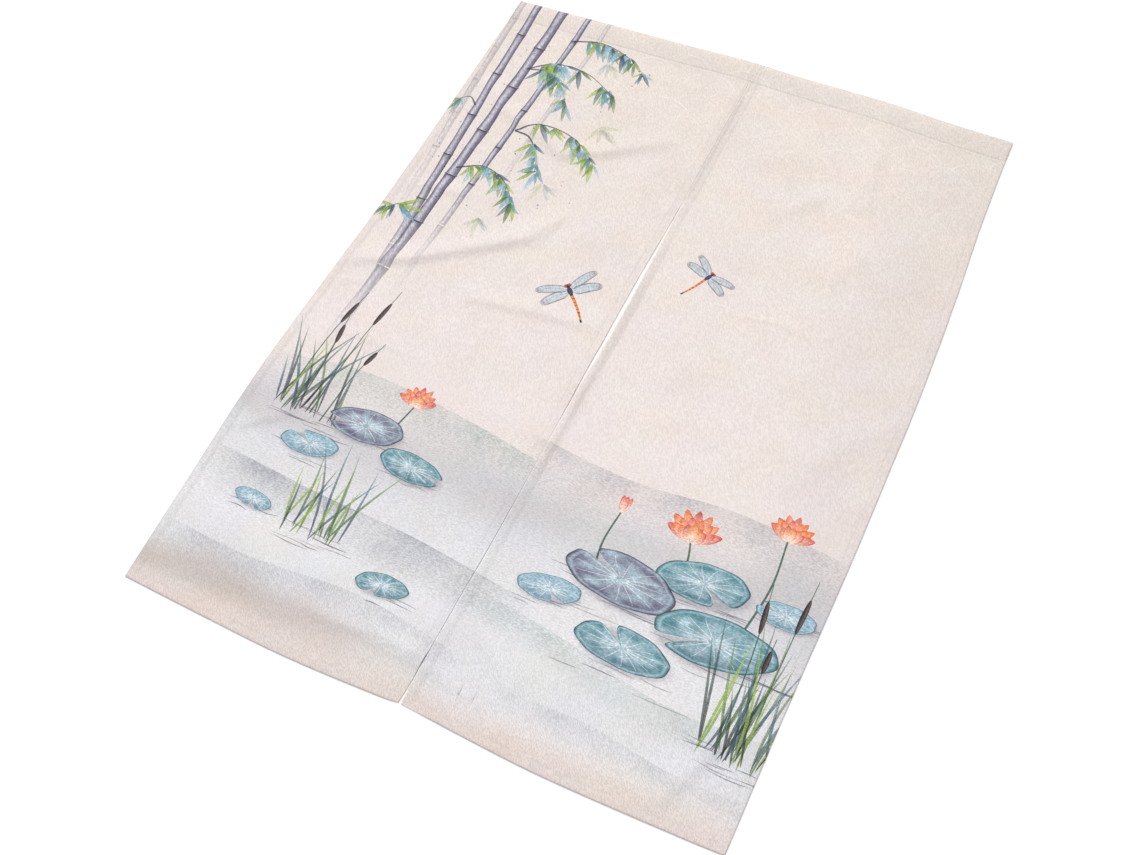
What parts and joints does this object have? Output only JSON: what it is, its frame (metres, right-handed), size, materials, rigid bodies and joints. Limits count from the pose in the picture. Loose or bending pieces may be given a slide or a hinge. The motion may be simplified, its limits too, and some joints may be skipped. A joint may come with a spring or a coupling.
{
  "type": "split door curtain",
  "caption": "Split cloth door curtain, its panels joined at the top under a rod pocket, laid out face up with soft creases and a painted water garden print.",
  "frame": {"origin": "middle of the curtain's box, on the surface that it lies on", "axes": "+X across the curtain from its left edge to its right edge, +Y along it from the bottom hem to the rod pocket, +Z out of the printed face"},
  "size_m": [0.879, 1.1958, 0.0078],
  "materials": {
    "printed_cloth": "matt woven polyester with a printed face",
    "pocket_cloth": "matt woven polyester, folded over and stitched"
  },
  "bodies": {
    "root": {"panel_left": "printed_cloth", "panel_right": "printed_cloth", "rod_pocket_left": "pocket_cloth", "rod_pocket_right": "pocket_cloth"}
  },
  "joints": []
}
